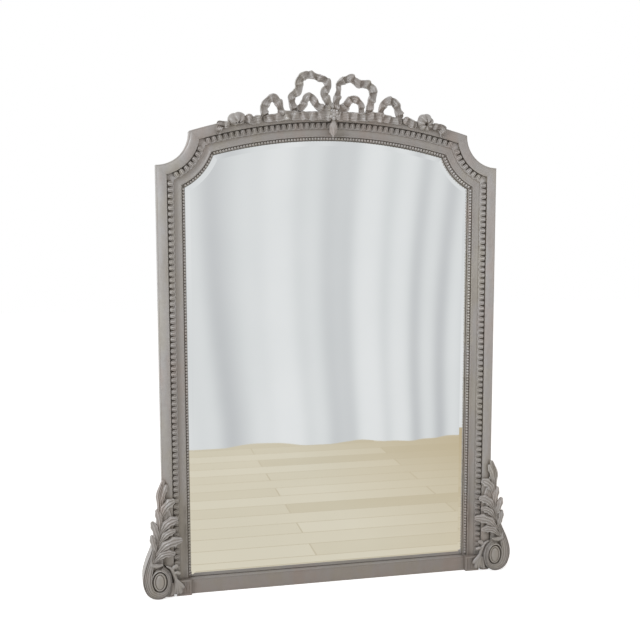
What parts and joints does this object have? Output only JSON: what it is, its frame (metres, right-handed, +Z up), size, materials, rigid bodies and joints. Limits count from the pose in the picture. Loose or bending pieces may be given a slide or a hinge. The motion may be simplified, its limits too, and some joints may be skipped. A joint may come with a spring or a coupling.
{
  "type": "overmantel mirror",
  "caption": "Tall arched overmantel mirror with hollow shoulders, pearl and leaf mouldings, ribbon-bow crest, scroll brackets and bevelled plate, on swinging hanger rings.",
  "frame": {"origin": "on the back (wall) face, at the middle of the frame's foot, where it meets the shelf", "axes": "+X to the viewer's right, +Z up, -Y towards the viewer; the wall is the plane y = 0"},
  "size_m": [1.2094, 0.0778, 1.6156],
  "materials": {
    "frame_paint": "worn taupe-grey paint on wood",
    "ornament_paint": "worn taupe-grey paint on pressed composition, darker in the hollows",
    "crest_paint": "worn taupe-grey paint on carving, rubbed pale on the edges",
    "bracket_paint": "worn taupe-grey paint on carving, rubbed pale on the edges",
    "mirror_glass": "silvered plate with a ground bevel",
    "backboard_pine": "bare aged pine",
    "batten_pine": "bare aged pine",
    "hanger_steel": "dull zinc",
    "screw_steel": "dull steel"
  },
  "bodies": {
    "root": {"left_stile": "frame_paint", "right_stile": "frame_paint", "bottom_rail": "frame_paint", "left_shoulder": "frame_paint", "right_shoulder": "frame_paint", "arched_top_rail": "frame_paint", "left_plinth_block": "frame_paint", "right_plinth_block": "frame_paint", "left_pearls": "ornament_paint", "right_pearls": "ornament_paint", "left_shoulder_pearls": "ornament_paint", "right_shoulder_pearls": "ornament_paint", "arch_pearls": "ornament_paint", "left_leaf_and_dart": "ornament_paint", "right_leaf_and_dart": "ornament_paint", "left_shoulder_leaf_and_dart": "ornament_paint", "right_shoulder_leaf_and_dart": "ornament_paint", "arch_leaf_and_dart": "ornament_paint", "left_bow_loop": "crest_paint", "right_bow_loop": "crest_paint", "left_ribbon_band": "crest_paint", "right_ribbon_band": "crest_paint", "left_side_loop": "crest_paint", "right_side_loop": "crest_paint", "left_ribbon_wave": "crest_paint", "right_ribbon_wave": "crest_paint", "left_ribbon_puff": "crest_paint", "right_ribbon_puff": "crest_paint", "left_ribbon_end": "crest_paint", "right_ribbon_end": "crest_paint", "knot_rosette": "crest_paint", "bellflower_drop": "crest_paint", "left_scroll": "bracket_paint", "right_scroll": "bracket_paint", "left_cabochon": "bracket_paint", "right_cabochon": "bracket_paint", "left_acanthus": "bracket_paint", "right_acanthus": "bracket_paint", "left_leaf_sprig": "bracket_paint", "right_leaf_sprig": "bracket_paint", "mirror_plate": "mirror_glass", "left_backboard": "backboard_pine", "middle_backboard": "backboard_pine", "right_backboard": "backboard_pine", "lower_batten": "batten_pine", "upper_batten": "batten_pine", "backboard_screws": "screw_steel", "left_hanger_strap": "hanger_steel", "right_hanger_strap": "hanger_steel", "hanger_screws": "screw_steel"},
    "left_ring": {"left_hanger_ring": "hanger_steel"},
    "right_ring": {"right_hanger_ring": "hanger_steel"}
  },
  "joints": [
    {"name": "left_ring_hinge", "type": "hinge", "parent": "root", "child": "left_ring", "pos_m": [-0.51, -0.0062, 1.12], "axis": [1, 0, 0], "range_deg": [0, 165]},
    {"name": "right_ring_hinge", "type": "hinge", "parent": "root", "child": "right_ring", "pos_m": [0.51, -0.0062, 1.12], "axis": [1, 0, 0], "range_deg": [0, 165]}
  ]
}
